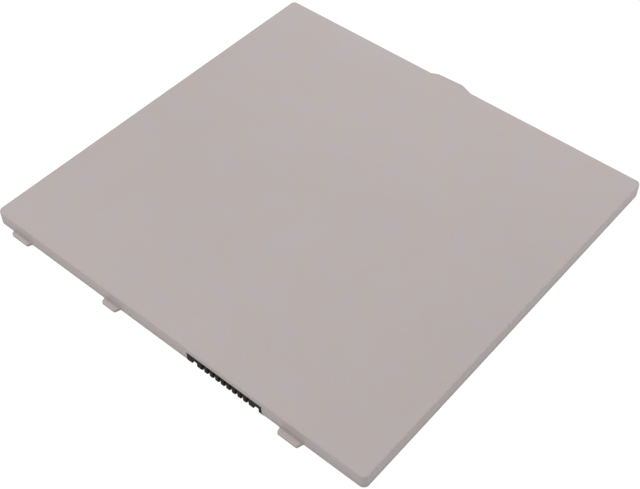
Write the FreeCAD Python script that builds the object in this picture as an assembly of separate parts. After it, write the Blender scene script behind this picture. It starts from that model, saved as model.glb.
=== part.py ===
import FreeCAD, Part
import os

Vector = FreeCAD.Vector

# A slim plug-in battery pack for a tablet, lying on its seat face, in millimetres.
# The origin is the middle of the casing's footprint, on the underside.
# +X runs along the connector edge, the connector edge faces -Y, +Z points out of the plain face.

# Casing, outside
CASE_WIDTH = 139.0
CASE_DEPTH = 132.8
CASE_HEIGHT = 5.1
CORNER_RADIUS = 1.7
TOP_EDGE_RADIUS = 0.65
UNDER_EDGE_RADIUS = 0.22

# Casing, walls: a deep top cover closed from below by a plate
TOP_WALL = 0.7
SIDE_WALL = 1.0
PLATE_THICKNESS = 0.8
INNER_CORNER_RADIUS = 0.7
SEAM_CHAMFER = 0.12

# Locating lips inside the walls, moulded on the plate
LIP_CLEARANCE = 0.1
LIP_THICKNESS = 0.6
LIP_HEIGHT = 0.7
LIP_END_GAP = 5.0

# Shallow bare recess on the underside
RECESS_DEPTH = 0.15
RECESS_SIDE_MARGIN = 10.0
RECESS_FRONT_MARGIN = 24.0
RECESS_CORNER_RADIUS = 3.0

# Latch tongue on the far edge, flush with the plain face
TONGUE_THICKNESS = 2.2
TONGUE_TIP_LENGTH = 9.3
TONGUE_TIP_CENTRE = -2.25
TONGUE_LEFT_RAMP = 2.3
TONGUE_RIGHT_RAMP = 4.4
TONGUE_LEFT_REACH = 1.15
TONGUE_RIGHT_REACH = 1.65
TONGUE_CORNER_RADIUS = 0.7

# Hooks on the connector edge, moulded on the plate
HOOK_ROOT_WIDTH = 7.8
SMALL_HOOK_ROOT_WIDTH = 6.15
HOOK_TIP_NARROWING = 1.1
HOOK_REACH = 2.0
SMALL_HOOK_REACH = 1.85
CORNER_HOOK_REACH = 1.5
HOOK_HEIGHT = 1.3
HOOK_CORNER_RADIUS = 0.55
HOOK_EDGE_RADIUS = 0.25
HOOK_FOOT_CHAMFER = 0.18
HOOK_GROOVE_RADIUS = 0.7
HOOK_GROOVE_DEPTH = 0.35
HOOK_EMBED = 1.2
CORNER_HOOK_FROM_LEFT = 10.65
SMALL_HOOK_FROM_CONNECTOR = 42.9
FAR_HOOK_FROM_CONNECTOR = 23.45

# Comb connector
CONNECTOR_FROM_RIGHT = 47.25
CONTACT_COUNT = 9
CONTACT_PITCH = 2.0
SLOT_WIDTH = 0.6
SLOT_DEPTH = 4.4
SLOT_LEAD_IN = 0.2
ROOF_THICKNESS = 0.4
GUIDE_WIDTH = 1.8
GUIDE_DEPTH = 3.0
GUIDE_DROP = 1.25
GUIDE_FROM_LAST_CONTACT = 3.1
LEFT_END_BLOCK = 1.85
RIGHT_END_BLOCK = 1.0
KEY_REACH = 0.7
KEY_ROOT_HEIGHT = 0.45
KEY_TIP_HEIGHT = 0.2
NOSE_STEP = 0.25
NOSE_CLEARANCE = 0.05
NOSE_DEPTH = 5.0
FLANGE_REACH = 1.0
FLANGE_CLEARANCE = 0.1
HOUSING_DEPTH = 6.0
HOUSING_FOOT_CLEARANCE = 0.05
CHAMBER_WIDTH = 1.3
CHAMBER_SETBACK = 1.5
CHAMBER_FLOOR = 0.5

# Fork contacts
CONTACT_THICKNESS = 0.15
CONTACT_PLAY = 0.05
BLADE_GAP = 0.25
FORK_THROAT = 0.7
FORK_MOUTH = 0.55
PINCH_SETBACK = 0.55
ARM_LENGTH = 1.2
TAIL_WIDTH = 0.5
TAIL_CLEARANCE = 0.03
FOOT_REACH = 0.9

# Circuit board
BOARD_THICKNESS = 0.8
BOARD_WIDTH = 10.0
BOARD_STANDOFF = 0.2
BOARD_EDGE_CLEARANCE = 0.2
BOARD_END_CLEARANCE = 2.0
STAKE_DIAMETER = 1.6
STAKE_CLEARANCE = 0.1
STAKE_HEAD_DIAMETER = 2.6
STAKE_HEAD_HEIGHT = 0.5
STAKE_FROM_END = 4.0
RAIL_WIDTH = 0.8
RAIL_INSET = 0.6

# Cells
CELL_COUNT = 3
CELL_GAP_TO_BOARD = 1.0
CELL_WALL_CLEARANCE = 1.0
CELL_RIB_CLEARANCE = 0.25
CELL_TOP_CLEARANCE = 0.15
RIB_THICKNESS = 0.8
RIB_FOOT_CLEARANCE = 0.2
POUCH_EDGE_RADIUS = 0.8
POUCH_FOLD = 0.35
POUCH_FOLD_MARGIN = 0.4
TERRACE_LENGTH = 4.0
TERRACE_THICKNESS = 0.36
TERRACE_INSET = 1.0
TERRACE_CLEARANCE = 0.1
TAPE_THICKNESS = 0.15
TAPE_MARGIN = 5.0

# Cell tabs and the pads that they are welded to
TAB_SPACING = 24.0
TAB_WIDTH = 4.5
TAB_THICKNESS = 0.1
PAD_LENGTH = 3.0
PAD_WIDTH = 5.2
PAD_THICKNESS = 0.28
PAD_INSET = 0.5
TAB_TIP_INSET = 0.3
STRIP_THICKNESS = 0.1
STRIP_MARGIN = 0.4
STRIP_OVERHANG = 2.0

# Components under the board, placed from the connector's middle contact
COMPONENT_ROW = 2.9
GAUGE_LENGTH = 9.6
GAUGE_WIDTH = 3.4
GAUGE_HEIGHT = 1.0
GAUGE_PLACE = -21.0
GAUGE_LEAD_COUNT = 14
GAUGE_LEAD_PITCH = 0.65
GAUGE_LEAD_WIDTH = 0.24
GAUGE_LEAD_THICKNESS = 0.12
GAUGE_LEAD_REACH = 0.5
PROTECTOR_SIDE = 3.0
PROTECTOR_HEIGHT = 0.85
PROTECTOR_PLACE = -29.5
SWITCH_LENGTH = 5.0
SWITCH_WIDTH = 4.0
SWITCH_HEIGHT = 1.0
DISCHARGE_SWITCH_PLACE = -35.0
CHARGE_SWITCH_PLACE = -41.5
FUSE_LENGTH = 4.0
FUSE_WIDTH = 3.0
FUSE_HEIGHT = 1.2
FUSE_PLACE = -47.5
PACKAGE_CHAMFER = 0.15
SHUNT_LENGTH = 6.3
SHUNT_WIDTH = 3.2
SHUNT_HEIGHT = 0.6
SHUNT_CAP = 1.0
SHUNT_CAP_STEP = 0.05
SHUNT_PLACE = 19.5
CAPACITOR_COUNT = 6
CAPACITOR_PITCH = 2.2
CAPACITOR_LENGTH = 1.6
CAPACITOR_WIDTH = 0.8
CAPACITOR_HEIGHT = 0.8
CAPACITOR_PLACE = 25.5
BEAD_WIDTH = 1.6
BEAD_LENGTH = 1.4
BEAD_HEIGHT = 0.8
BEAD_EDGE_RADIUS = 0.3
LEAD_SPACING = 0.8
LEAD_WIDTH = 0.2
LEAD_THICKNESS = 0.12
LEAD_OVERLAP = 1.2

# Lengths closer than this are taken as equal when edges are picked
SAME = 1e-6

# Levels and lines that several pieces share
FRONT = -CASE_DEPTH / 2
FAR = CASE_DEPTH / 2
RIGHT = CASE_WIDTH / 2
LEFT = -CASE_WIDTH / 2
INNER_FRONT = FRONT + SIDE_WALL
INNER_FAR = FAR - SIDE_WALL
INNER_RIGHT = RIGHT - SIDE_WALL
INNER_LEFT = LEFT + SIDE_WALL
CAVITY_TOP = CASE_HEIGHT - TOP_WALL
BOARD_TOP = CAVITY_TOP - BOARD_STANDOFF
BOARD_UNDER = BOARD_TOP - BOARD_THICKNESS
BOARD_FRONT = INNER_FRONT + BOARD_EDGE_CLEARANCE
BOARD_REAR = BOARD_FRONT + BOARD_WIDTH
BOARD_LEFT = INNER_LEFT + BOARD_END_CLEARANCE
BOARD_RIGHT = INNER_RIGHT - BOARD_END_CLEARANCE
STAKE_Y = (BOARD_FRONT + BOARD_REAR) / 2
STAKE_PLACES = (BOARD_LEFT + STAKE_FROM_END, BOARD_RIGHT - STAKE_FROM_END)
CONNECTOR_X = RIGHT - CONNECTOR_FROM_RIGHT
GUIDE_OFFSET = CONTACT_PITCH * (CONTACT_COUNT - 1) / 2 + GUIDE_FROM_LAST_CONTACT
NOSE_LEFT = CONNECTOR_X - GUIDE_OFFSET - GUIDE_WIDTH / 2 - LEFT_END_BLOCK
NOSE_RIGHT = CONNECTOR_X + GUIDE_OFFSET + GUIDE_WIDTH / 2 + RIGHT_END_BLOCK
NOSE_TOP = BOARD_UNDER - NOSE_STEP
SLOT_ROOF = NOSE_TOP - ROOF_THICKNESS
TAB_TOP = BOARD_UNDER - PAD_THICKNESS
TAB_UNDER = TAB_TOP - TAB_THICKNESS
TERRACE_UNDER = (TAB_TOP + TAB_UNDER - TERRACE_THICKNESS) / 2
TERRACE_TOP = TERRACE_UNDER + TERRACE_THICKNESS
TERRACE_FRONT = BOARD_REAR + CELL_GAP_TO_BOARD
POUCH_FRONT = TERRACE_FRONT + TERRACE_LENGTH
POUCH_REAR = INNER_FAR - CELL_WALL_CLEARANCE
POUCH_UNDER = PLATE_THICKNESS + TAPE_THICKNESS
POUCH_TOP = CAVITY_TOP - CELL_TOP_CLEARANCE
RIB_REAR = POUCH_FRONT - CELL_RIB_CLEARANCE
RIB_FRONT = RIB_REAR - RIB_THICKNESS
CELL_BAY = INNER_RIGHT - INNER_LEFT - 2 * CELL_WALL_CLEARANCE
CELL_SPACER = RIB_THICKNESS + 2 * CELL_RIB_CLEARANCE
CELL_WIDTH = (CELL_BAY - CELL_SPACER * (CELL_COUNT - 1)) / CELL_COUNT
CELL_PITCH = CELL_WIDTH + CELL_SPACER
CELL_PLACES = [CELL_PITCH * (i - (CELL_COUNT - 1) / 2) for i in range(CELL_COUNT)]
PAD_REAR = BOARD_REAR - PAD_INSET
PAD_FRONT = PAD_REAR - PAD_LENGTH
TAB_TIP = PAD_FRONT + TAB_TIP_INSET


def block(x0, x1, y0, y1, z0, z1):
    """A box between two corners."""
    return Part.makeBox(x1 - x0, y1 - y0, z1 - z0, Vector(x0, y0, z0))


def prism(points, z0, z1):
    """A plan outline, given as (x, y) points, raised from z0 to z1."""
    wire = Part.makePolygon([Vector(x, y, z0) for x, y in points + points[:1]])
    return Part.Face(wire).extrude(Vector(0, 0, z1 - z0))


def bar(points, y0, y1):
    """A cross-section, given as (x, z) points, run along Y from y0 to y1."""
    wire = Part.makePolygon([Vector(x, y0, z) for x, z in points + points[:1]])
    return Part.Face(wire).extrude(Vector(0, y1 - y0, 0))


def rounded_slab(x0, x1, y0, y1, radius, z0, z1):
    """A slab with rounded plan corners."""
    slab = block(x0, x1, y0, y1, z0, z1)
    return slab.makeFillet(radius, upright_edges(slab))


def upright_edges(shape):
    """The edges of a shape that run along Z."""
    return [e for e in shape.Edges if max(e.BoundBox.XLength, e.BoundBox.YLength) < SAME]


def level_edges(shape, z):
    """The edges of a shape that lie flat at one height."""
    return [e for e in shape.Edges if max(abs(e.BoundBox.ZMin - z), abs(e.BoundBox.ZMax - z)) < SAME]


def fused(first, others):
    """One solid from overlapping or touching pieces, without leftover seams."""
    return first.multiFuse(others).removeSplitter()


def make_tongue():
    """The latch tongue: a low trapezoid with a short left and a long right ramp."""
    tip_left = TONGUE_TIP_CENTRE - TONGUE_TIP_LENGTH / 2
    tip_right = TONGUE_TIP_CENTRE + TONGUE_TIP_LENGTH / 2
    base_left = tip_left - TONGUE_LEFT_RAMP
    base_right = tip_right + TONGUE_RIGHT_RAMP
    outline = [
        (base_left, FAR - SIDE_WALL / 2),
        (base_right, FAR - SIDE_WALL / 2),
        (base_right, FAR),
        (tip_right, FAR + TONGUE_RIGHT_REACH),
        (tip_left, FAR + TONGUE_LEFT_REACH),
        (base_left, FAR),
    ]
    tongue = prism(outline, CASE_HEIGHT - TONGUE_THICKNESS, CASE_HEIGHT)
    tips = [e for e in upright_edges(tongue) if e.BoundBox.YMin > FAR + SAME]
    return tongue.makeFillet(TONGUE_CORNER_RADIUS, tips)


def make_shell():
    """The top cover's outer skin: tray, tongue and rounded edge, hollow from below."""
    skin = rounded_slab(LEFT, RIGHT, FRONT, FAR, CORNER_RADIUS, PLATE_THICKNESS, CASE_HEIGHT)
    skin = skin.makeChamfer(SEAM_CHAMFER, level_edges(skin, PLATE_THICKNESS))
    skin = fused(skin, [make_tongue()])
    skin = skin.makeFillet(TOP_EDGE_RADIUS, level_edges(skin, CASE_HEIGHT))
    hollow = rounded_slab(
        INNER_LEFT,
        INNER_RIGHT,
        INNER_FRONT,
        INNER_FAR,
        INNER_CORNER_RADIUS,
        PLATE_THICKNESS,
        CAVITY_TOP,
    )
    window = block(
        NOSE_LEFT - NOSE_CLEARANCE,
        NOSE_RIGHT + NOSE_CLEARANCE,
        FRONT,
        INNER_FRONT,
        PLATE_THICKNESS,
        NOSE_TOP + NOSE_CLEARANCE,
    )
    return skin.cut([hollow, window])


def make_stake(x):
    """A pin of the top cover that passes through the board, with its formed-over head."""
    pin = Part.makeCylinder(STAKE_DIAMETER / 2, CAVITY_TOP - BOARD_UNDER, Vector(x, STAKE_Y, BOARD_UNDER))
    head = Part.makeCone(
        STAKE_DIAMETER / 2,
        STAKE_HEAD_DIAMETER / 2,
        STAKE_HEAD_HEIGHT,
        Vector(x, STAKE_Y, BOARD_UNDER - STAKE_HEAD_HEIGHT),
    )
    return pin.fuse(head)


def make_top_cover():
    """The plain-faced cover with its cell dividers, stop rib, board rails and stakes."""
    stop_foot = TERRACE_TOP + TERRACE_CLEARANCE
    inner = [block(INNER_LEFT, INNER_RIGHT, RIB_FRONT, RIB_REAR, stop_foot, CAVITY_TOP)]
    foot = PLATE_THICKNESS + RIB_FOOT_CLEARANCE
    for left_cell, right_cell in zip(CELL_PLACES, CELL_PLACES[1:]):
        middle = (left_cell + right_cell) / 2
        side = RIB_THICKNESS / 2
        rear = INNER_FAR - LIP_CLEARANCE - LIP_THICKNESS - LIP_CLEARANCE
        inner.append(block(middle - side, middle + side, RIB_REAR, rear, foot, CAVITY_TOP))
    for y in (BOARD_FRONT + RAIL_INSET, BOARD_REAR - RAIL_INSET - RAIL_WIDTH):
        inner.append(block(BOARD_LEFT, BOARD_RIGHT, y, y + RAIL_WIDTH, BOARD_TOP, CAVITY_TOP))
    for x in STAKE_PLACES:
        inner.append(make_stake(x))
    return fused(make_shell(), inner)


def hook_rim(hook, z):
    """The level edges of a hook at one height, without the one along the casing's wall."""
    return [e for e in level_edges(hook, z) if e.BoundBox.YMin < FRONT - SAME]


def make_hook(x, root_width, reach):
    """A hook reaching out of the connector edge, with a groove behind its raised and narrower tip."""
    root = root_width / 2
    tip = root - HOOK_TIP_NARROWING / 2
    end = FRONT - reach
    outline = [(x - root, FRONT), (x - tip, end), (x + tip, end), (x + root, FRONT)]
    hook = prism(outline, 0, HOOK_HEIGHT)
    corners = [e for e in upright_edges(hook) if abs(e.BoundBox.YMin - end) < SAME]
    hook = hook.makeFillet(HOOK_CORNER_RADIUS, corners)
    hook = hook.makeFillet(HOOK_EDGE_RADIUS, hook_rim(hook, HOOK_HEIGHT))
    hook = hook.makeChamfer(HOOK_FOOT_CHAMFER, hook_rim(hook, 0))
    start = Vector(x - root, FRONT, HOOK_HEIGHT - HOOK_GROOVE_DEPTH + HOOK_GROOVE_RADIUS)
    groove = Part.makeCylinder(HOOK_GROOVE_RADIUS, root_width, start, Vector(1, 0, 0))
    foot = block(x - root, x + root, FRONT, FRONT + HOOK_EMBED, 0, PLATE_THICKNESS)
    return fused(hook.cut(groove), [foot])


def make_lips():
    """Low walls on the plate that locate it inside the top cover, clear of the connector."""
    outer = LIP_CLEARANCE
    inner = LIP_CLEARANCE + LIP_THICKNESS
    z0 = PLATE_THICKNESS
    z1 = PLATE_THICKNESS + LIP_HEIGHT
    x0 = INNER_LEFT + LIP_END_GAP
    x1 = INNER_RIGHT - LIP_END_GAP
    y0 = INNER_FRONT + LIP_END_GAP
    y1 = INNER_FAR - LIP_END_GAP
    gap_left = NOSE_LEFT - FLANGE_REACH - LIP_END_GAP
    gap_right = NOSE_RIGHT + FLANGE_REACH + LIP_END_GAP
    return [
        block(INNER_LEFT + outer, INNER_LEFT + inner, y0, y1, z0, z1),
        block(INNER_RIGHT - inner, INNER_RIGHT - outer, y0, y1, z0, z1),
        block(x0, x1, INNER_FAR - inner, INNER_FAR - outer, z0, z1),
        block(x0, gap_left, INNER_FRONT + outer, INNER_FRONT + inner, z0, z1),
        block(gap_right, x1, INNER_FRONT + outer, INNER_FRONT + inner, z0, z1),
    ]


def make_bottom_cover():
    """The closing plate with hooks, locating lips, cell stops, recess and connector notch."""
    plate = rounded_slab(LEFT, RIGHT, FRONT, FAR, CORNER_RADIUS, 0, PLATE_THICKNESS)
    plate = plate.makeFillet(UNDER_EDGE_RADIUS, level_edges(plate, 0))
    plate = plate.makeChamfer(SEAM_CHAMFER, level_edges(plate, PLATE_THICKNESS))
    added = [
        make_hook(LEFT + CORNER_HOOK_FROM_LEFT, HOOK_ROOT_WIDTH, CORNER_HOOK_REACH),
        make_hook(CONNECTOR_X - SMALL_HOOK_FROM_CONNECTOR, SMALL_HOOK_ROOT_WIDTH, SMALL_HOOK_REACH),
        make_hook(CONNECTOR_X + FAR_HOOK_FROM_CONNECTOR, HOOK_ROOT_WIDTH, HOOK_REACH),
    ]
    added += make_lips()
    stop_top = TERRACE_UNDER - TERRACE_CLEARANCE
    for x in CELL_PLACES:
        side = CELL_WIDTH / 2 - TERRACE_INSET
        added.append(block(x - side, x + side, RIB_FRONT, RIB_REAR, PLATE_THICKNESS, stop_top))
    plate = fused(plate, added)
    recess = rounded_slab(
        LEFT + RECESS_SIDE_MARGIN,
        RIGHT - RECESS_SIDE_MARGIN,
        FRONT + RECESS_FRONT_MARGIN,
        FAR - RECESS_SIDE_MARGIN,
        RECESS_CORNER_RADIUS,
        0,
        RECESS_DEPTH,
    )
    notch = block(
        NOSE_LEFT - NOSE_CLEARANCE,
        NOSE_RIGHT + NOSE_CLEARANCE,
        FRONT,
        FRONT + NOSE_DEPTH + NOSE_CLEARANCE,
        0,
        PLATE_THICKNESS,
    )
    return plate.cut([recess, notch, make_key(NOSE_CLEARANCE)])


def contact_places():
    """The X of each contact, left to right."""
    first = CONNECTOR_X - CONTACT_PITCH * (CONTACT_COUNT - 1) / 2
    return [first + CONTACT_PITCH * i for i in range(CONTACT_COUNT)]


def make_slot(x):
    """A contact slot open to the front and below, with lead-in bevels at its front mouth."""
    side = SLOT_WIDTH / 2
    wide = side + SLOT_LEAD_IN
    inward = FRONT + SLOT_LEAD_IN
    slot = block(x - side, x + side, FRONT, FRONT + SLOT_DEPTH, 0, SLOT_ROOF)
    mouth = [(x - wide, FRONT), (x + wide, FRONT), (x + side, inward), (x - side, inward)]
    return slot.fuse(prism(mouth, 0, SLOT_ROOF))


def make_guide(x):
    """A wide slot for a guide post, open to the front and below."""
    side = GUIDE_WIDTH / 2
    return block(x - side, x + side, FRONT, FRONT + GUIDE_DEPTH, 0, SLOT_ROOF - GUIDE_DROP)


def make_chamber(x):
    """The pocket behind a slot that holds a contact, with the way up for its tail."""
    side = CHAMBER_WIDTH / 2
    rear = FRONT + SLOT_DEPTH
    pocket = block(x - side, x + side, FRONT + CHAMBER_SETBACK, rear, CHAMBER_FLOOR, SLOT_ROOF)
    tail = TAIL_WIDTH / 2 + TAIL_CLEARANCE
    front = rear - CONTACT_THICKNESS - TAIL_CLEARANCE
    rise = block(x - tail, x + tail, front, rear, SLOT_ROOF, BOARD_UNDER)
    floor = BOARD_UNDER - CONTACT_THICKNESS - TAIL_CLEARANCE
    groove = block(x - tail, x + tail, front, FRONT + HOUSING_DEPTH, floor, BOARD_UNDER)
    return pocket.fuse(rise).fuse(groove)


def make_key(clearance):
    """The wedge at the nose's right foot that keys it into the plate, or its seat with a clearance."""
    tip = NOSE_RIGHT + KEY_REACH + clearance
    section = [
        (NOSE_RIGHT, 0),
        (tip, 0),
        (tip, KEY_TIP_HEIGHT + clearance),
        (NOSE_RIGHT, KEY_ROOT_HEIGHT + clearance),
    ]
    return bar(section, FRONT, FRONT + NOSE_DEPTH + clearance)


def make_connector_housing():
    """The black comb: a nose flush with the wall and the underside, on a wider body."""
    nose = block(NOSE_LEFT, NOSE_RIGHT, FRONT, FRONT + NOSE_DEPTH, 0, NOSE_TOP)
    body = block(
        NOSE_LEFT - FLANGE_REACH,
        NOSE_RIGHT + FLANGE_REACH,
        INNER_FRONT + FLANGE_CLEARANCE,
        FRONT + HOUSING_DEPTH,
        PLATE_THICKNESS + HOUSING_FOOT_CLEARANCE,
        BOARD_UNDER,
    )
    housing = fused(nose, [body, make_key(0)])
    cuts = []
    for x in contact_places():
        cuts.append(make_slot(x))
        cuts.append(make_chamber(x))
    for x in (CONNECTOR_X - GUIDE_OFFSET, CONNECTOR_X + GUIDE_OFFSET):
        cuts.append(make_guide(x))
    return housing.cut(cuts)


def make_contact(x):
    """A fork of two springy arms, with a tail that rises to a foot under the board."""
    rear = FRONT + SLOT_DEPTH
    front = FRONT + CHAMBER_SETBACK + CONTACT_PLAY
    z0 = CHAMBER_FLOOR + CONTACT_PLAY
    z1 = SLOT_ROOF - CONTACT_PLAY
    thick = CONTACT_THICKNESS
    pieces = []
    for way in (-1, 1):
        path = [
            (FORK_THROAT / 2, rear),
            (FORK_THROAT / 2, rear - ARM_LENGTH),
            (BLADE_GAP / 2, front + PINCH_SETBACK),
            (FORK_MOUTH / 2, front),
        ]
        inside = [(x + way * a, y) for a, y in path]
        outside = [(x + way * (a + thick), y) for a, y in path]
        pieces.append(prism(inside + outside[::-1], z0, z1))
    side = FORK_THROAT / 2 + thick
    bridge = block(x - side, x + side, rear - thick, rear, z0, z1)
    tail = TAIL_WIDTH / 2
    pieces.append(block(x - tail, x + tail, rear - thick, rear, z1, BOARD_UNDER))
    end = FRONT + HOUSING_DEPTH + FOOT_REACH
    pieces.append(block(x - tail, x + tail, rear - thick, end, BOARD_UNDER - thick, BOARD_UNDER))
    return fused(bridge, pieces)


def make_circuit_board():
    """The long narrow board, held by two stakes of the top cover."""
    board = block(BOARD_LEFT, BOARD_RIGHT, BOARD_FRONT, BOARD_REAR, BOARD_UNDER, BOARD_TOP)
    radius = STAKE_DIAMETER / 2 + STAKE_CLEARANCE
    for x in STAKE_PLACES:
        board = board.cut(Part.makeCylinder(radius, BOARD_THICKNESS, Vector(x, STAKE_Y, BOARD_UNDER)))
    return board


def make_cell(x):
    """A sealed pouch: rounded body, folded side seams and the flat terrace at the tab end."""
    side = CELL_WIDTH / 2
    belly = side - POUCH_FOLD
    pouch = block(x - belly, x + belly, POUCH_FRONT, POUCH_REAR, POUCH_UNDER, POUCH_TOP)
    pouch = pouch.makeFillet(POUCH_EDGE_RADIUS, pouch.Edges)
    fold_front = POUCH_FRONT + POUCH_EDGE_RADIUS
    fold_rear = POUCH_REAR - POUCH_EDGE_RADIUS
    fold_under = POUCH_UNDER + POUCH_FOLD_MARGIN
    fold_inner = belly - POUCH_EDGE_RADIUS
    terrace_side = side - TERRACE_INSET
    terrace_rear = POUCH_FRONT + POUCH_EDGE_RADIUS
    added = [
        block(x - side, x - fold_inner, fold_front, fold_rear, fold_under, TERRACE_TOP),
        block(x + fold_inner, x + side, fold_front, fold_rear, fold_under, TERRACE_TOP),
        block(x - terrace_side, x + terrace_side, TERRACE_FRONT, terrace_rear, TERRACE_UNDER, TERRACE_TOP),
    ]
    return fused(pouch, added)


def make_cell_tape(x):
    """The adhesive sheet that holds a cell on the plate."""
    side = CELL_WIDTH / 2 - TAPE_MARGIN
    front = POUCH_FRONT + TAPE_MARGIN
    rear = POUCH_REAR - TAPE_MARGIN
    return block(x - side, x + side, front, rear, PLATE_THICKNESS, POUCH_UNDER)


def tab_places(x):
    """The X of a cell's positive and negative tab."""
    return {"positive": x - TAB_SPACING / 2, "negative": x + TAB_SPACING / 2}


def make_tab(x):
    """A thin metal strip from a cell's terrace to its weld pad."""
    return block(x - TAB_WIDTH / 2, x + TAB_WIDTH / 2, TAB_TIP, TERRACE_FRONT, TAB_UNDER, TAB_TOP)


def make_weld_pad(x):
    """A nickel plate soldered under the board, where a tab is welded."""
    return block(x - PAD_WIDTH / 2, x + PAD_WIDTH / 2, PAD_FRONT, PAD_REAR, TAB_TOP, BOARD_UNDER)


def make_insulating_strip():
    """The film stuck under all the tabs."""
    end = CELL_PLACES[-1] + TAB_SPACING / 2 + TAB_WIDTH / 2 + STRIP_OVERHANG
    front = TAB_TIP - STRIP_MARGIN
    rear = TERRACE_FRONT - STRIP_MARGIN
    return block(-end, end, front, rear, TAB_UNDER - STRIP_THICKNESS, TAB_UNDER)


def make_package(place, length, width, height):
    """A moulded chip package under the board, with bevelled lower edges."""
    x = CONNECTOR_X + place
    y = BOARD_FRONT + COMPONENT_ROW
    under = BOARD_UNDER - height
    body = block(x - length / 2, x + length / 2, y - width / 2, y + width / 2, under, BOARD_UNDER)
    return body.makeChamfer(PACKAGE_CHAMFER, level_edges(body, under))


def make_switch(place):
    """A power transistor that can open the pack's current path."""
    return make_package(place, SWITCH_LENGTH, SWITCH_WIDTH, SWITCH_HEIGHT)


def make_gauge_chip():
    """The charge-gauge chip with its two rows of bent leads."""
    x = CONNECTOR_X + GAUGE_PLACE
    y = BOARD_FRONT + COMPONENT_ROW
    chip = make_package(GAUGE_PLACE, GAUGE_LENGTH, GAUGE_WIDTH, GAUGE_HEIGHT)
    leads = []
    for i in range(GAUGE_LEAD_COUNT):
        middle = x + GAUGE_LEAD_PITCH * (i - (GAUGE_LEAD_COUNT - 1) / 2)
        reach = GAUGE_WIDTH / 2 + GAUGE_LEAD_REACH
        foot = BOARD_UNDER - GAUGE_LEAD_THICKNESS
        side = GAUGE_LEAD_WIDTH / 2
        leads.append(block(middle - side, middle + side, y - reach, y + reach, foot, BOARD_UNDER))
    return fused(chip, leads)


def make_sense_resistor():
    """The flat current-sensing resistor with its two metal end caps."""
    x = CONNECTOR_X + SHUNT_PLACE
    y = BOARD_FRONT + COMPONENT_ROW
    end = SHUNT_LENGTH / 2
    side = SHUNT_WIDTH / 2
    under = BOARD_UNDER - SHUNT_HEIGHT
    middle = end - SHUNT_CAP
    caps = [
        block(x - end, x - middle, y - side, y + side, under, BOARD_UNDER),
        block(x + middle, x + end, y - side, y + side, under, BOARD_UNDER),
    ]
    core = block(
        x - middle,
        x + middle,
        y - side + SHUNT_CAP_STEP,
        y + side - SHUNT_CAP_STEP,
        under + SHUNT_CAP_STEP,
        BOARD_UNDER,
    )
    return fused(core, caps)


def make_chip_capacitors():
    """A row of small ceramic capacitors under the board."""
    y = BOARD_FRONT + COMPONENT_ROW
    under = BOARD_UNDER - CAPACITOR_HEIGHT
    row = []
    for i in range(CAPACITOR_COUNT):
        x = CONNECTOR_X + CAPACITOR_PLACE + CAPACITOR_PITCH * i
        side = CAPACITOR_WIDTH / 2
        end = CAPACITOR_LENGTH / 2
        row.append(block(x - side, x + side, y - end, y + end, under, BOARD_UNDER))
    return Part.makeCompound(row)


def make_thermistor():
    """A bead on the middle cell's terrace, with two leads soldered under the board."""
    x = CELL_PLACES[CELL_COUNT // 2]
    side = BEAD_WIDTH / 2
    rear = TERRACE_FRONT + BEAD_LENGTH
    bead = block(x - side, x + side, TERRACE_FRONT, rear, TERRACE_TOP, TERRACE_TOP + BEAD_HEIGHT)
    bead = bead.makeFillet(BEAD_EDGE_RADIUS, level_edges(bead, TERRACE_TOP + BEAD_HEIGHT))
    leads = []
    for middle in (x - LEAD_SPACING / 2, x + LEAD_SPACING / 2):
        leads.append(
            block(
                middle - LEAD_WIDTH / 2,
                middle + LEAD_WIDTH / 2,
                BOARD_REAR - LEAD_OVERLAP,
                TERRACE_FRONT,
                BOARD_UNDER - LEAD_THICKNESS,
                BOARD_UNDER,
            )
        )
    return fused(bead, leads)


def make_pieces():
    """Every piece of the pack by its name."""
    pieces = {
        "top_cover": make_top_cover(),
        "bottom_cover": make_bottom_cover(),
        "connector_housing": make_connector_housing(),
        "circuit_board": make_circuit_board(),
        "gauge_chip": make_gauge_chip(),
        "protector_chip": make_package(PROTECTOR_PLACE, PROTECTOR_SIDE, PROTECTOR_SIDE, PROTECTOR_HEIGHT),
        "discharge_switch": make_switch(DISCHARGE_SWITCH_PLACE),
        "charge_switch": make_switch(CHARGE_SWITCH_PLACE),
        "chemical_fuse": make_package(FUSE_PLACE, FUSE_LENGTH, FUSE_WIDTH, FUSE_HEIGHT),
        "sense_resistor": make_sense_resistor(),
        "chip_capacitors": make_chip_capacitors(),
        "thermistor": make_thermistor(),
        "insulating_strip": make_insulating_strip(),
    }
    for i, x in enumerate(contact_places(), start=1):
        pieces[f"contact_{i}"] = make_contact(x)
    for i, x in enumerate(CELL_PLACES, start=1):
        pieces[f"cell_{i}"] = make_cell(x)
        pieces[f"cell_{i}_tape"] = make_cell_tape(x)
        for pole, place in tab_places(x).items():
            pieces[f"cell_{i}_{pole}_tab"] = make_tab(place)
            pieces[f"cell_{i}_{pole}_weld_pad"] = make_weld_pad(place)
    return pieces


os.makedirs("parts", exist_ok=True)
for name, shape in make_pieces().items():
    shape.exportStep(f"parts/{name}.step")
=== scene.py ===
# The looks of a slim plug-in battery pack for a tablet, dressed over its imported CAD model.
import logging
import math
from dataclasses import dataclass
from enum import Enum
from functools import reduce
from typing import Mapping, Optional, Sequence, Union

import bpy
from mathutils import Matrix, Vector


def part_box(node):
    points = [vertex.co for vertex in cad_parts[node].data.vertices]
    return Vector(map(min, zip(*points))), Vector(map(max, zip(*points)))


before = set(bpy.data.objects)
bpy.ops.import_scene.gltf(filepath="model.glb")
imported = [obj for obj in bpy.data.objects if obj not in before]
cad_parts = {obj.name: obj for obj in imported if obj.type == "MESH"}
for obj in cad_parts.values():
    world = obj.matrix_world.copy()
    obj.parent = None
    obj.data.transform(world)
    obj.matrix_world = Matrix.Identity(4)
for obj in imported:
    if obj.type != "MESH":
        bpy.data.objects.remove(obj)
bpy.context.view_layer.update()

MM = 0.001
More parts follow.
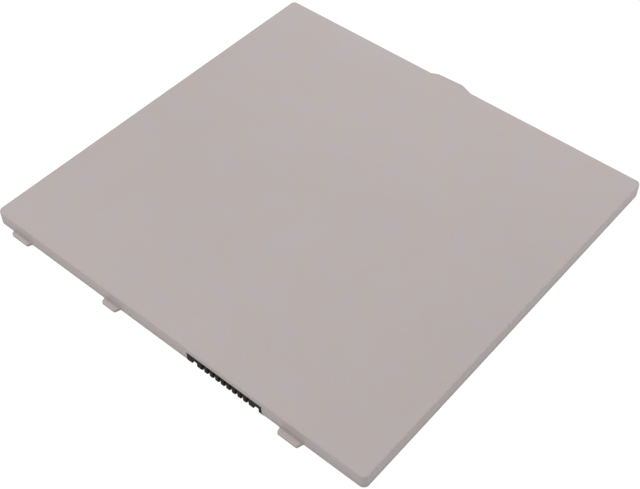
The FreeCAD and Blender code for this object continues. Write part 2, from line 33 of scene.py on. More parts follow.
# The mean of a noise, and the middle of a piece's box.
MIDDLE = 0.5
# The places of a Mix node's colour sockets, which share their names with its other sockets.
MIX_FIRST, MIX_SECOND, MIX_RESULT = 6, 7, 2

Triple = tuple[float, float, float]
Colour = Triple
Span = tuple[float, float]
Number = Union["Wire", float]
Value = Union["Wire", float, Sequence[float]]

WHITE: Colour = (1.0, 1.0, 1.0)

log = logging.getLogger("battery")


class Axis(Enum):
    """A direction of the shared frame, by its place in a vector."""

    X = 0
    Y = 1
    Z = 2


class Detail(Enum):
    """How richly a noise is layered, by the number of finer layers on it."""

    SMOOTH = 0.0
    SOFT = 1.0
    MEDIUM = 2.0
    RICH = 3.0


class Space(Enum):
    """Where a pattern is anchored."""

    FRAME = "Object"
    PIECE_BOX = "Generated"


class Spread(Enum):
    """How random spots are strewn: over X and Y alone, or through the whole body."""

    FLAT = "2D"
    SOLID = "3D"


class Wire:
    """An output socket that takes part in Python expressions; each operator adds a Math node."""

    def __init__(self, board: "NodeBoard", socket: bpy.types.NodeSocket) -> None:
        """Keeps the socket and the board that new nodes go on."""
        self.board = board
        self.socket = socket

    def __add__(self, other: Number) -> "Wire":
        """self + other."""
        return self.board.math("ADD", self, other)

    def __radd__(self, other: float) -> "Wire":
        """other + self."""
        return self.board.math("ADD", other, self)

    def __sub__(self, other: Number) -> "Wire":
        """self - other."""
        return self.board.math("SUBTRACT", self, other)

    def __rsub__(self, other: float) -> "Wire":
        """other - self."""
        return self.board.math("SUBTRACT", other, self)

    def __mul__(self, other: Number) -> "Wire":
        """self * other."""
        return self.board.math("MULTIPLY", self, other)

    def __rmul__(self, other: float) -> "Wire":
        """other * self."""
        return self.board.math("MULTIPLY", other, self)

    def __truediv__(self, other: Number) -> "Wire":
        """self / other."""
        return self.board.math("DIVIDE", self, other)

    def __rtruediv__(self, other: float) -> "Wire":
        """other / self."""
        return self.board.math("DIVIDE", other, self)

    def __abs__(self) -> "Wire":
        """The size of the value, without its sign."""
        return self.board.math("ABSOLUTE", self)

    def higher(self, other: Number) -> "Wire":
        """The larger of two values."""
        return self.board.math("MAXIMUM", self, other)

    def hypot(self, other: "Wire") -> "Wire":
        """The distance that two values at right angles give."""
        return self.board.math("SQRT", self * self + other * other)

    def zigzag(self, pitch: float) -> "Wire":
        """A wave that climbs from 0 to 1 over one pitch and falls back over the next."""
        return self.board.math("PINGPONG", self, pitch) / pitch

    def swing(self, spread: float) -> "Wire":
        """How far a noise lies from its mean, times a spread."""
        return (self - MIDDLE) * spread

    def ramp(self, start: float, end: float) -> "Wire":
        """A smooth step from 0 at start to 1 at end.

        Args:
            start: The value where the step is still 0.
            end: The value from which the step is 1; it may lie below start.

        Returns:
            The step, between 0 and 1.
        """
        if start > end:
            return 1.0 - self.ramp(end, start)
        return self.board.node(
            "ShaderNodeMapRange",
            {"interpolation_type": "SMOOTHSTEP"},
            {"Value": self, "From Min": start, "From Max": end},
        )


class NodeBoard:
    """The nodes of one material or world, cleared to begin with."""

    def __init__(self, tree: bpy.types.NodeTree) -> None:
        """Empties the tree and keeps it."""
        self.tree = tree
        tree.nodes.clear()

    def add(
        self,
        kind: str,
        settings: Optional[Mapping[str, object]] = None,
        inputs: Optional[Mapping[Union[str, int], Value]] = None,
    ) -> bpy.types.Node:
        """Adds a node of any kind.

        Args:
            kind: The node's type, such as ShaderNodeTexNoise.
            settings: The node's own properties, which are set before its sockets.
            inputs: Values or wires for its sockets, by name or place.

        Returns:
            The node.
        """
        made = self.tree.nodes.new(kind)
        for name, setting in (settings or {}).items():
            setattr(made, name, setting)
        for key, value in (inputs or {}).items():
            self._feed(made.inputs[key], value)
        return made

    def node(
        self,
        kind: str,
        settings: Optional[Mapping[str, object]] = None,
        inputs: Optional[Mapping[Union[str, int], Value]] = None,
        output: Union[str, int] = 0,
    ) -> Wire:
        """Adds a node, as add does, and goes on from one of its outputs."""
        return Wire(self, self.add(kind, settings, inputs).outputs[output])

    def _feed(self, socket: bpy.types.NodeSocket, value: Value) -> None:
        """Links a wire to a socket, or writes a plain value on it.

        Args:
            socket: The input socket.
            value: A wire, a number, a vector or a colour.
        """
        if isinstance(value, Wire):
            self.tree.links.new(value.socket, socket)
        elif socket.type == "RGBA":
            socket.default_value = (*value, 1.0)
        else:
            socket.default_value = value

    def math(self, operation: str, *operands: Number) -> Wire:
        """Adds a Math node for one operation on values."""
        return self.node("ShaderNodeMath", {"operation": operation}, dict(enumerate(operands)))

    def scaled(self, vector: Value, factor: Number) -> Wire:
        """A vector or colour times a value."""
        inputs = {0: vector, "Scale": factor}
        return self.node("ShaderNodeVectorMath", {"operation": "SCALE"}, inputs)

    def blend(self, factor: Number, first: Value, second: Value) -> Wire:
        """Lets one colour go over into another.

        Args:
            factor: How much of the second colour shows, from 0 to 1.
            first: The colour, or a wire that carries it, at a factor of 0.
            second: The colour, or a wire that carries it, at a factor of 1.

        Returns:
            The mixed colour.
        """
        settings = {"data_type": "RGBA", "clamp_factor": True}
        inputs = {"Factor": factor, MIX_FIRST: first, MIX_SECOND: second}
        return self.node("ShaderNodeMix", settings, inputs, MIX_RESULT)

    def mix_shaders(self, factor: Number, first: Wire, second: Wire) -> Wire:
        """The first shader going over into the second as the factor rises from 0 to 1."""
        return self.node("ShaderNodeMixShader", inputs=dict(enumerate((factor, first, second))))

    def place(self, space: Space = Space.FRAME) -> Wire:
        """The point being shaded: in millimetres of the frame, or as shares of the piece's box."""
        point = self.node("ShaderNodeTexCoord", output=space.value)
        return self.scaled(point, 1 / MM) if space is Space.FRAME else point

    def along(self, point: Wire, axis: Axis) -> Wire:
        """One coordinate of a point."""
        return self.node("ShaderNodeSeparateXYZ", inputs={0: point}, output=axis.value)

    def seen_directly(self) -> Wire:
        """A value of 1 for rays from the camera, or mirrored or let through on their way to it."""
        ways = ("Is Camera Ray", "Is Glossy Ray", "Is Transmission Ray")
        return reduce(Wire.higher, [self.node("ShaderNodeLightPath", output=way) for way in ways])

    def noise(
        self,
        point: Wire,
        size: float,
        detail: Detail = Detail.MEDIUM,
        stretch: Triple = (1.0, 1.0, 1.0),
    ) -> Wire:
        """Cloudy noise between 0 and 1.

        Args:
            point: Where the noise is read.
            size: The size of its blotches, in the point's units.
            detail: How many finer layers lie on it.
            stretch: How much longer the blotches are along each axis.

        Returns:
            The noise as a value.
        """
        settings = {"operation": "DIVIDE"}
        squeezed = self.node("ShaderNodeVectorMath", settings, {0: point, 1: stretch})
        return self.node(
            "ShaderNodeTexNoise",
            {"normalize": True},
            {"Vector": squeezed, "Scale": 1 / size, "Detail": detail.value},
        )

    def spots(
        self,
        point: Wire,
        pitch: float,
        radius: float,
        core: float = 0.5,
        spread: Spread = Spread.SOLID,
    ) -> Wire:
        """Round spots at random places.

        Args:
            point: Where the spots are read.
            pitch: About how far apart they lie, in the point's units.
            radius: How far each spot reaches.
            core: The share of the radius within which a spot is full.
            spread: How the spots are strewn.

        Returns:
            A value of 1 in the spots and 0 between them.
        """
        distance = self.node(
            "ShaderNodeTexVoronoi",
            {"voronoi_dimensions": spread.value},
            {"Vector": point, "Scale": 1 / pitch},
        )
        return (distance * pitch).ramp(radius, radius * core)

    def bumps(self, *heights: tuple[Wire, float]) -> Wire:
        """Stacks height fields into one normal.

        Args:
            heights: Fields between 0 and 1, each with its depth in millimetres.

        Returns:
            The bent normal.
        """
        normal: dict[str, Value] = {}
        for height, depth in heights:
            inputs = {"Height": height, "Distance": depth * MM, "Strength": 1.0, **normal}
            normal["Normal"] = self.node("ShaderNodeBump", inputs=inputs)
        return normal["Normal"]

    def surface(self, **sockets: Value) -> None:
        """Ends the material in one Principled shader.

        Args:
            sockets: Its inputs, where an underscore stands for a space in a socket's name.
        """
        inputs = {name.replace("_", " "): value for name, value in sockets.items()}
        shader = self.node("ShaderNodeBsdfPrincipled", inputs=inputs)
        self.add("ShaderNodeOutputMaterial", inputs={"Surface": shader})


def new_board(name: str) -> tuple[bpy.types.Material, NodeBoard]:
    """Makes an empty node material.

    Args:
        name: The material's name.

    Returns:
        The material and the board of its nodes.
    """
    material = bpy.data.materials.new(name)
    material.use_nodes = True
    return material, NodeBoard(material.node_tree)


# The finishes: sizes, heights and depths are in millimetres, and the other numbers are shares.


@dataclass(frozen=True)
class CoverPlastic:
    """Warm grey moulded plastic: eroded grain, faint mottling, dulled top edges under painted
    shade, and painted shade at the wall feet.
    """

    width: float
    depth: float
    top: float
    colour: Colour = (0.480, 0.418, 0.398)
    cool_colour: Colour = (0.467, 0.420, 0.422)
    tint_range: Span = (0.35, 0.65)
    cloud: float = 0.05
    cloud_size: float = 30.0
    mottle: float = 0.035
    mottle_size: float = 7.0
    speck: float = 0.1
    speck_pitch: float = 9.0
    speck_radius: float = 0.22
    roughness: float = 0.56
    pore_roughness: float = 0.12
    pore_size: float = 0.6
    grain_size: float = 0.2
    grain_depth: float = 0.005
    # Painted shade on the top edges, which tones down their light; the same band is also made
    # rougher.
    edge_shade: float = 0.04
    edge_wear_and_shade_width: float = 1.1
    wear_roughness: float = 0.1
    # Painted shade: how much darker the walls and hook roots get towards the floor.
    grime: float = 0.07
    foot_shade_heights: Span = (2.4, 1.1)
    foot_shade_reach: float = 0.5

    def material(self) -> bpy.types.Material:
        """Makes the finish of both covers.

        Returns:
            The material.
        """
        material, board = new_board("cover_plastic_grained")
        point = board.place()
        x, y, z = (board.along(point, axis) for axis in Axis)
        clouds = board.noise(point, self.cloud_size, Detail.RICH)
        patches = board.noise(point, self.mottle_size)
        specks = board.spots(point, self.speck_pitch, self.speck_radius)
        pores = board.noise(point, self.pore_size)
        grain = board.noise(point, self.grain_size, Detail.SOFT)
        insets = (self.width / 2 - abs(x), self.depth / 2 - abs(y))
        # The top edges' band: rougher with wear, and darkened by painted shade.
        at_edge = reduce(Wire.higher, [inset.ramp(self.edge_wear_and_shade_width, 0.0) for inset in insets])
        worn_and_shaded_edge = at_edge * (self.top - z).ramp(self.edge_wear_and_shade_width, 0.0) * patches
        # Painted shade near the walls' planes, deepening towards the floor over the wall feet and
        # hook roots.
        on_wall = reduce(Wire.higher, [abs(inset).ramp(self.foot_shade_reach, 0.0) for inset in insets])
        shaded_foot = on_wall * z.ramp(*self.foot_shade_heights)
        tint = board.blend(patches.ramp(*self.tint_range), self.colour, self.cool_colour)
        paler = clouds.swing(self.cloud) + patches.swing(self.mottle) + specks * self.speck
        # Painted shade on the top edges and at the wall feet, darkening the colour.
        darker = worn_and_shaded_edge * self.edge_shade + shaded_foot * self.grime
        dulled = pores.swing(self.pore_roughness) + worn_and_shaded_edge * self.wear_roughness
        board.surface(
            Base_Color=board.scaled(tint, 1.0 + paler - darker),
            Roughness=self.roughness + dulled,
            Normal=board.bumps((pores, self.grain_depth), (grain, self.grain_depth)),
        )
        return material


@dataclass(frozen=True)
class BlackNylon:
    """Black glass-filled nylon: fine grain, faint fibre streaks and a soft sheen."""

    colour: Colour = (0.0070, 0.0035, 0.0031)
    fibre_colour: Colour = (0.0125, 0.0075, 0.0068)
    fibre_size: float = 0.3
    fibre_stretch: float = 5.0
    fibre_range: Span = (0.5, 0.75)
    fibre_shine: float = 0.05
    roughness: float = 0.55
    sheen: float = 0.07
    grain_size: float = 0.12
    grain_depth: float = 0.004
    grain_roughness: float = 0.2

    def material(self) -> bpy.types.Material:
        """Makes the finish of the comb connector's housing.

        Returns:
            The material.
        """
        material, board = new_board("connector_nylon")
        point = board.place()
        along_x = (self.fibre_stretch, 1.0, 1.0)
        streaks = board.noise(point, self.fibre_size, Detail.RICH, along_x)
        fibres = streaks.ramp(*self.fibre_range)
        grain = board.noise(point, self.grain_size)
        dulled = grain.swing(self.grain_roughness) - fibres * self.fibre_shine
        board.surface(
            Base_Color=board.blend(fibres, self.colour, self.fibre_colour),
            Roughness=self.roughness + dulled,
            Specular_IOR_Level=self.sheen,
            Normal=board.bumps((grain, self.grain_depth)),
        )
        return material


@dataclass(frozen=True)
class PlatedMetal:
    """Rolled or plated sheet metal: fine lines along Y, dulled patches and weld dimples."""

    name: str
    colour: Colour
    dull_colour: Colour
    weld_rows: tuple[float, ...] = ()
    weld_offset: float = 0.22
    weld_radius: float = 0.07
    weld_depth: float = 0.05
    roughness: float = 0.28
    dull_roughness: float = 0.2
    line_pitch: float = 0.08
    line_stretch: float = 30.0
    line_depth: float = 0.002
    line_roughness: float = 0.15
    patch: float = 0.5
    patch_size: float = 1.6
    patch_range: Span = (0.35, 0.75)

    def material(self) -> bpy.types.Material:
        """Makes the finish of contacts, tabs or weld pads.

        Returns:
            The material.
        """
        material, board = new_board(self.name)
        point = board.place()
        lines = board.noise(point, self.line_pitch, stretch=(1.0, self.line_stretch, 1.0))
        patches = board.noise(point, self.patch_size, Detail.RICH)
        dulled = patches.ramp(*self.patch_range) * self.patch
        heights = [(lines, self.line_depth)]
        if self.weld_rows:
            dimples = self._dimples(board)
            heights.append((1.0 - dimples, self.weld_depth))
            dulled = dulled.higher(dimples)
        rougher = lines.swing(self.line_roughness) + dulled * self.dull_roughness
        board.surface(
            Base_Color=board.blend(dulled, self.colour, self.dull_colour),
            Metallic=1.0,
            Roughness=self.roughness + rougher,
            Normal=board.bumps(*heights),
        )
        return material

    def _dimples(self, board: NodeBoard) -> Wire:
        """Lays out the spot welds, two to a row.

        Args:
            board: The material's nodes.

        Returns:
            A value of 1 in the welds and 0 elsewhere.
        """
        share = board.place(Space.PIECE_BOX)
        across, length = board.along(share, Axis.X), board.along(share, Axis.Y)
        off_pair = abs(across - MIDDLE) - self.weld_offset
        distances = [off_pair.hypot(length - row) for row in self.weld_rows]
        welds = [away.ramp(self.weld_radius, self.weld_radius / 2) for away in distances]
        return reduce(Wire.higher, welds)


@dataclass(frozen=True)
class SolderMask:
    """Green lacquer over copper: raised tracks that change direction, and plated holes."""

    colour: Colour = (0.012, 0.110, 0.045)
    track_colour: Colour = (0.030, 0.190, 0.080)
    track_pitch: float = 0.55
    track_range: Span = (0.45, 0.6)
    track_depth: float = 0.03
    turn_size: float = 5.0
    turn_range: Span = (0.48, 0.52)
    hole_colour: Colour = (0.55, 0.40, 0.16)
    hole_pitch: float = 1.7
    hole_radius: float = 0.16
    hole_core: float = 0.8
    roughness: float = 0.24
    grime_size: float = 2.5
    grime_roughness: float = 0.12

    def material(self) -> bpy.types.Material:
        """Makes the finish of the circuit board.

        Returns:
            The material.
        """
        material, board = new_board("board_solder_mask")
        point = board.place()
        turned = board.noise(point, self.turn_size, Detail.SMOOTH).ramp(*self.turn_range)
        ways = [board.along(point, axis).zigzag(self.track_pitch) for axis in (Axis.X, Axis.Y)]
        tracks = (ways[0] * turned + ways[1] * (1.0 - turned)).ramp(*self.track_range)
        holes = board.spots(point, self.hole_pitch, self.hole_radius, self.hole_core, Spread.FLAT)
        mask = board.blend(tracks, self.colour, self.track_colour)
        grime = board.noise(point, self.grime_size, Detail.RICH)
        board.surface(
            Base_Color=board.blend(holes, mask, self.hole_colour),
            Metallic=holes,
            Roughness=self.roughness + grime.swing(self.grime_roughness),
            Normal=board.bumps((tracks, self.track_depth)),
        )
        return material


@dataclass(frozen=True)
class PouchFoil:
    """Satin laminated foil: soft dents over the belly and a pressed grid on the sealed terrace."""

    terrace_end: float
    colour: Colour = (0.60, 0.61, 0.63)
    metallic: float = 0.85
    roughness: float = 0.33
    fine: float = 0.3
    fine_size: float = 0.7
    fine_roughness: float = 0.15
    dent_size: float = 9.0
    dent_depth: float = 0.05
    seal: float = 0.6
    seal_colour: Colour = (0.50, 0.51, 0.53)
    seal_roughness: float = 0.08
    seal_fade: float = 0.2
    grid_pitch: float = 0.35
    grid_depth: float = 0.03

    def material(self) -> bpy.types.Material:
        """Makes the finish of the pouch cells.

        Returns:
            The material.
        """
        material, board = new_board("pouch_foil")
        point = board.place()
        x, y = board.along(point, Axis.X), board.along(point, Axis.Y)
        sealed = y.ramp(self.terrace_end + self.seal_fade, self.terrace_end - self.seal_fade)
        grid = (x + y).zigzag(self.grid_pitch) * (x - y).zigzag(self.grid_pitch) * sealed
        dents = board.noise(point, self.dent_size, Detail.RICH)
        fine = board.noise(point, self.fine_size)
        duller = sealed * self.seal + fine * self.fine
        rougher = fine.swing(self.fine_roughness) + sealed * self.seal_roughness
        board.surface(
            Base_Color=board.blend(duller, self.colour, self.seal_colour),
            Metallic=self.metallic,
            Roughness=self.roughness + rougher,
            Normal=board.bumps((dents, self.dent_depth), (grid, self.grid_depth)),
        )
        return material


@dataclass(frozen=True)
class ThinFilm:
    """A plastic film or adhesive sheet: faint streaks, trapped bubbles and a soft gloss."""

    name: str
    colour: Colour
    deep_colour: Colour
    roughness: float
    coat: float
    streak_size: float = 1.5
    streak_stretch: float = 8.0
    streak_range: Span = (0.35, 0.7)
    streak_roughness: float = 0.2
    bubble_pitch: float = 3.5
    bubble_radius: float = 0.35
    bubble_depth: float = 0.02

    def material(self) -> bpy.types.Material:
        """Makes the finish of the insulating strip or of the cells' adhesive sheets.

        Returns:
            The material.
        """
        material, board = new_board(self.name)
        point = board.place()
        along_x = (self.streak_stretch, 1.0, 1.0)
        streaks = board.noise(point, self.streak_size, Detail.RICH, along_x)
        deeper = streaks.ramp(*self.streak_range)
        bubbles = board.spots(point, self.bubble_pitch, self.bubble_radius)
        board.surface(
            Base_Color=board.blend(deeper, self.colour, self.deep_colour),
            Roughness=self.roughness + streaks.swing(self.streak_roughness),
            Coat_Weight=self.coat * (1.0 - bubbles),
            Normal=board.bumps((bubbles, self.bubble_depth)),
        )
        return material


@dataclass(frozen=True)
class CappedBody:
    """A moulded or fired body whose ends along one axis are tinned metal."""

    name: str
    colour: Colour
    axis: Axis = Axis.Y
    caps: Span = (0.0, 1.0)
    cap_fade: float = 0.01
    tin_colour: Colour = (0.62, 0.61, 0.58)
    tin_shine: float = 0.15
    roughness: float = 0.5
    grain_size: float = 0.15
    grain_depth: float = 0.006
    grain_roughness: float = 0.2
    stain: float = 0.3
    stain_size: float = 1.2
    pin_mark: bool = False
    mark_place: Span = (0.12, 0.3)
    mark_edge: Span = (0.05, 0.04)
    mark_depth: float = 0.06

    def material(self) -> bpy.types.Material:
        """Makes the finish of a chip, resistor, capacitor or bead.

        Returns:
            The material.
        """
        material, board = new_board(self.name)
        point, share = board.place(), board.place(Space.PIECE_BOX)
        length = board.along(share, self.axis)
        low, high = self.caps
        below = length.ramp(low, low - self.cap_fade)
        tinned = below.higher(length.ramp(high, high + self.cap_fade))
        grain = board.noise(point, self.grain_size)
        stains = board.noise(point, self.stain_size)
        heights = [(grain, self.grain_depth)]
        if self.pin_mark:
            heights.append((1.0 - self._pin_mark(board, share), self.mark_depth))
        body = board.scaled(self.colour, 1.0 + stains.swing(self.stain))
        dulled = grain.swing(self.grain_roughness) - tinned * self.tin_shine
        board.surface(
            Base_Color=board.blend(tinned, body, self.tin_colour),
            Metallic=tinned,
            Roughness=self.roughness + dulled,
            Normal=board.bumps(*heights),
        )
        return material

    def _pin_mark(self, board: NodeBoard, share: Wire) -> Wire:
        """Sinks the round dimple beside a chip's first lead.

        Args:
            board: The material's nodes.
            share: The point being shaded, as shares of the piece's box.

        Returns:
            A value of 1 in the dimple and 0 elsewhere.
        """
        across = board.along(share, Axis.X) - self.mark_place[0]
        up = board.along(share, Axis.Y) - self.mark_place[1]
        return across.hypot(up).ramp(*self.mark_edge)


def coat(names: Sequence[str], material: bpy.types.Material) -> None:
    """Gives CAD nodes one finish and reports them.

    Args:
        names: The nodes' names.
        material: The finish that they take.
    """
    for name in names:
        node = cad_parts[name]
        node.data.materials.clear()
        node.data.materials.append(material)
        log.info("dressed %s in %s", name, material.name)


@dataclass
class Casing:
    """The two covers with their hooks and latch tongue; sizes in millimetres."""

    width: float
    depth: float
    height: float

    def dress(self) -> None:
        """Dresses both covers in the same plastic."""
        finish = CoverPlastic(self.width, self.depth, self.height)
        coat(["top_cover", "bottom_cover"], finish.material())


@dataclass
class CombConnector:
    """The black comb and the fork contacts seated in it."""

    contacts: int = 9
    gold: Colour = (0.83, 0.63, 0.28)
    dull_gold: Colour = (0.70, 0.52, 0.24)

    def contact_names(self) -> list[str]:
        """The contacts' nodes, from one end of the comb to the other."""
        return [f"contact_{i}" for i in range(1, self.contacts + 1)]

    def slot_span(self) -> Span:
        """Where the row of contacts starts and ends along X, in metres."""
        ends = [corner.x for name in self.contact_names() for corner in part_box(name)]
        return min(ends), max(ends)

    def slot_front(self) -> float:
        """Where the comb's front stands along Y, in metres."""
        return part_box("connector_housing")[0].y

    def dress(self) -> None:
        """Dresses the housing and its contacts."""
        coat(["connector_housing"], BlackNylon().material())
        gold = PlatedMetal("contact_gold", self.gold, self.dull_gold)
        coat(self.contact_names(), gold.material())


@dataclass
class CellGroup:
    """The pouch cells with their adhesive sheets, tabs and weld pads."""

    cells: int = 3
    terrace_length: float = 4.0
    weld_rows: Span = (0.1, 0.22)
    nickel: Colour = (0.60, 0.57, 0.52)
    scorched_nickel: Colour = (0.42, 0.39, 0.35)
    dull_nickel: Colour = (0.48, 0.45, 0.41)
    aluminium: Colour = (0.78, 0.78, 0.79)
    scorched_aluminium: Colour = (0.58, 0.58, 0.59)
    sheet: Colour = (0.80, 0.79, 0.75)
    deep_sheet: Colour = (0.70, 0.69, 0.64)
    sheet_roughness: float = 0.55
    sheet_coat: float = 0.1

    def _each(self, *endings: str) -> list[str]:
        """The nodes of every cell whose names end in the given ways."""
        return [f"cell_{i}{ending}" for i in range(1, self.cells + 1) for ending in endings]

    def dress(self) -> None:
        """Dresses every cell and what is fixed to it."""
        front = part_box("cell_1")[0].y / MM
        coat(self._each(""), PouchFoil(front + self.terrace_length).material())
        sheet = ThinFilm(
            "adhesive_sheet_milky",
            self.sheet,
            self.deep_sheet,
            self.sheet_roughness,
            self.sheet_coat,
        )
        coat(self._each("_tape"), sheet.material())
        nickel = PlatedMetal("nickel_rolled", self.nickel, self.scorched_nickel, self.weld_rows)
        coat(self._each("_negative_tab"), nickel.material())
        aluminium = PlatedMetal(
            "aluminium_rolled", self.aluminium, self.scorched_aluminium, self.weld_rows
        )
        coat(self._each("_positive_tab"), aluminium.material())
        pad = PlatedMetal("nickel_pad", self.nickel, self.dull_nickel)
        coat(self._each("_positive_weld_pad", "_negative_weld_pad"), pad.material())


@dataclass
class Electronics:
    """The circuit board, its components and the film under the tabs; caps as shares of a piece."""

    resin: Colour = (0.022, 0.022, 0.024)
    lead_caps: Span = (0.11, 0.89)
    shunt: Colour = (0.030, 0.050, 0.045)
    shunt_caps: Span = (0.16, 0.84)
    shunt_roughness: float = 0.4
    ceramic: Colour = (0.42, 0.30, 0.19)
    capacitor_caps: Span = (0.24, 0.76)
    capacitor_roughness: float = 0.35
    bead: Colour = (0.040, 0.040, 0.050)
    bead_caps: Span = (0.61, 1.0)
    bead_roughness: float = 0.2
    film: Colour = (0.55, 0.27, 0.05)
    deep_film: Colour = (0.42, 0.18, 0.03)
    film_roughness: float = 0.22
    film_coat: float = 0.4

    def dress(self) -> None:
        """Dresses the board, everything soldered to it and the film."""
        coat(["circuit_board"], SolderMask().material())
        gauge = CappedBody("chip_resin_leaded", self.resin, caps=self.lead_caps, pin_mark=True)
        coat(["gauge_chip"], gauge.material())
        chip = CappedBody("chip_resin_plain", self.resin, pin_mark=True)
        chips = ["protector_chip", "discharge_switch", "charge_switch", "chemical_fuse"]
        coat(chips, chip.material())
        shunt = CappedBody(
            "shunt_ceramic", self.shunt, Axis.X, self.shunt_caps, roughness=self.shunt_roughness
        )
        coat(["sense_resistor"], shunt.material())
        capacitor = CappedBody(
            "capacitor_ceramic",
            self.ceramic,
            caps=self.capacitor_caps,
            roughness=self.capacitor_roughness,
        )
        coat(["chip_capacitors"], capacitor.material())
        bead = CappedBody(
            "thermistor_resin", self.bead, caps=self.bead_caps, roughness=self.bead_roughness
        )
        coat(["thermistor"], bead.material())
        film = ThinFilm(
            "insulating_amber", self.film, self.deep_film, self.film_roughness, self.film_coat
        )
        coat(["insulating_strip"], film.material())


@dataclass(frozen=True)
class SoftLamp:
    """A square soft lamp that points at the pack; metres and watts."""

    name: str
    place: Triple
    size: float
    power: float

    def hang(self) -> None:
        """Hangs the lamp."""
        light = bpy.data.lights.new(self.name, "AREA")
        light.shape = "SQUARE"
        light.size = self.size
        light.energy = self.power
        lamp = bpy.data.objects.new(self.name, light)
        lamp.location = self.place
        lamp.rotation_euler = (-Vector(self.place)).to_track_quat("-Z", "Y").to_euler()
        lamp.visible_camera = False
        bpy.context.scene.collection.objects.link(lamp)
        log.info("hung the %s", self.name)


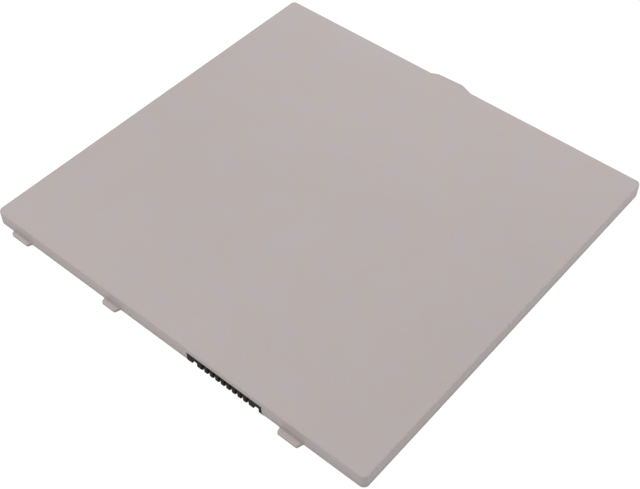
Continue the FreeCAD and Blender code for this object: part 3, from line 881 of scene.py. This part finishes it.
@dataclass
class Studio:
    """A pale floor, an even white surround, soft lamps and the camera.

    Sizes are in metres, angles in degrees, and the lens and its sensor in millimetres.
    Light that meets the floor within foot_gap of the pack passes through it. The feet of
    the walls so stay in shade, and the underside gets light.
    """

    pack_half: Span
    slot_span: Span
    slot_front: float
    slot_shade: float = 0.9
    slot_shade_depth: float = 0.00095
    slot_margins: Span = (0.0010, 0.0005)
    floor_size: float = 6.0
    floor_rim: float = 0.003
    floor_drop: float = 0.00002
    floor_colour: Colour = (0.86, 0.86, 0.86)
    bounce_colour: Colour = (0.5, 0.5, 0.5)
    floor_glow: float = 0.85
    glow_strength: float = 1.12
    foot_gap: float = 0.0033
    surround_level: float = 0.2
    lamps: tuple[SoftLamp, ...] = (
        SoftLamp("main_lamp", place=(-0.15, -0.25, 0.40), size=0.4, power=1.38),
        SoftLamp("near_corner_lamp", place=(0.66, -0.72, 0.50), size=0.8, power=3.75),
        SoftLamp("far_side_lamp", place=(0.25, 0.45, 0.15), size=0.4, power=1.70),
        SoftLamp("back_lamp", place=(-0.10, 0.25, 0.12), size=0.25, power=0.21),
    )
    camera_target: Triple = (0.008888, -0.011908, 0.0)
    camera_distance: float = 0.33729
    camera_azimuth: float = 40.283
    camera_elevation: float = 48.479
    camera_lens: float = 64.897
    camera_sensor: float = 36.0
    camera_clip: float = 0.01

    def build(self) -> None:
        """Sets up floor, surround, lamps and camera."""
        self._lay_floor()
        self._light_surround()
        for lamp in self.lamps:
            lamp.hang()
        self._place_camera()
        bpy.context.scene.view_settings.view_transform = "Standard"

    def _lay_floor(self) -> None:
        """Lays the floor, open where the pack covers it but for a rim under the pack's edge."""
        outer = (self.floor_size / 2, self.floor_size / 2)
        opening = tuple(half - self.floor_rim for half in self.pack_half)
        signs = ((-1, -1), (1, -1), (1, 1), (-1, 1))
        corners = [
            (x * sign_x, y * sign_y, -self.floor_drop)
            for x, y in (outer, opening)
            for sign_x, sign_y in signs
        ]
        count = len(signs)
        sides = [(i, (i + 1) % count, (i + 1) % count + count, i + count) for i in range(count)]
        mesh = bpy.data.meshes.new("floor")
        mesh.from_pydata(corners, [], sides)
        mesh.materials.append(self._floor_paper())
        floor = bpy.data.objects.new("floor", mesh)
        bpy.context.scene.collection.objects.link(floor)
        log.info("laid the floor")

    def _floor_paper(self) -> bpy.types.Material:
        """Makes the floor's paper, white where it is looked at and clear from below.

        Returns:
            The material.
        """
        material, board = new_board("floor_paper")
        direct = board.seen_directly()
        paper = board.node("ShaderNodeBsdfDiffuse", inputs={"Color": self.floor_colour})
        bounce = board.node("ShaderNodeBsdfDiffuse", inputs={"Color": self.bounce_colour})
        light = {"Color": WHITE, "Strength": self.glow_strength}
        glow = board.node("ShaderNodeEmission", inputs=light)
        glowing = self.floor_glow * (1.0 - self._slot_shadow(board) * self.slot_shade)
        seen = board.mix_shaders(glowing, paper, glow)
        shown = board.mix_shaders(direct, bounce, seen)
        behind = board.node("ShaderNodeNewGeometry", output="Backfacing")
        run = board.node("ShaderNodeLightPath", output="Ray Length")
        at_foot = run.ramp(self.foot_gap, self.foot_gap / 2) * (1.0 - direct)
        clear = board.node("ShaderNodeBsdfTransparent")
        surface = board.mix_shaders(behind.higher(at_foot), shown, clear)
        board.add("ShaderNodeOutputMaterial", inputs={"Surface": surface})
        return material

    def _slot_shadow(self, board: NodeBoard) -> Wire:
        """Lets the shadow in the comb's contact slots deepen from their mouths inwards.

        Args:
            board: The floor's nodes.

        Returns:
            A value of 0 at the mouths and outside the slots, rising to 1 deep inside.
        """
        point = board.place()
        x, y = board.along(point, Axis.X), board.along(point, Axis.Y)
        low, high = (end / MM for end in self.slot_span)
        clear, full = (margin / MM for margin in self.slot_margins)
        between = x.ramp(low - clear, low - full) * x.ramp(high + clear, high + full)
        front, back = self.slot_front / MM, (self.slot_front + self.slot_shade_depth) / MM
        return between * y.ramp(front, back) * y.ramp(0.0, front)

    def _light_surround(self) -> None:
        """Lights the scene evenly from all round, white where it is looked at."""
        world = bpy.data.worlds.new("surround")
        bpy.context.scene.world = world
        world.use_nodes = True
        board = NodeBoard(world.node_tree)
        level = self.surround_level + board.seen_directly() * (1.0 - self.surround_level)
        light = board.node("ShaderNodeBackground", inputs={"Color": WHITE, "Strength": level})
        board.add("ShaderNodeOutputWorld", inputs={"Surface": light})
        log.info("lit the surround")

    def _place_camera(self) -> None:
        """Puts the camera at the photograph's viewing angle."""
        lens = bpy.data.cameras.new("camera")
        lens.lens = self.camera_lens
        lens.sensor_width = self.camera_sensor
        lens.clip_start = self.camera_clip
        camera = bpy.data.objects.new("camera", lens)
        azimuth, elevation = math.radians(self.camera_azimuth), math.radians(self.camera_elevation)
        level = math.cos(elevation)
        back = Vector((math.sin(azimuth) * level, -math.cos(azimuth) * level, math.sin(elevation)))
        camera.location = Vector(self.camera_target) + back * self.camera_distance
        camera.rotation_euler = (-back).to_track_quat("-Z", "Y").to_euler()
        bpy.context.scene.collection.objects.link(camera)
        bpy.context.scene.camera = camera
        log.info("placed the camera")


def main() -> None:
    """Dresses the pack from the outside in, then sets up the studio."""
    logging.basicConfig(level=logging.INFO, format="%(name)s: %(message)s")
    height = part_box("top_cover")[1].z
    half_width, half_depth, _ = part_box("bottom_cover")[1]
    Casing(2 * half_width / MM, 2 * half_depth / MM, height / MM).dress()
    comb = CombConnector()
    comb.dress()
    CellGroup().dress()
    Electronics().dress()
    Studio((half_width, half_depth), comb.slot_span(), comb.slot_front()).build()


if __name__ == "__main__":
    main()
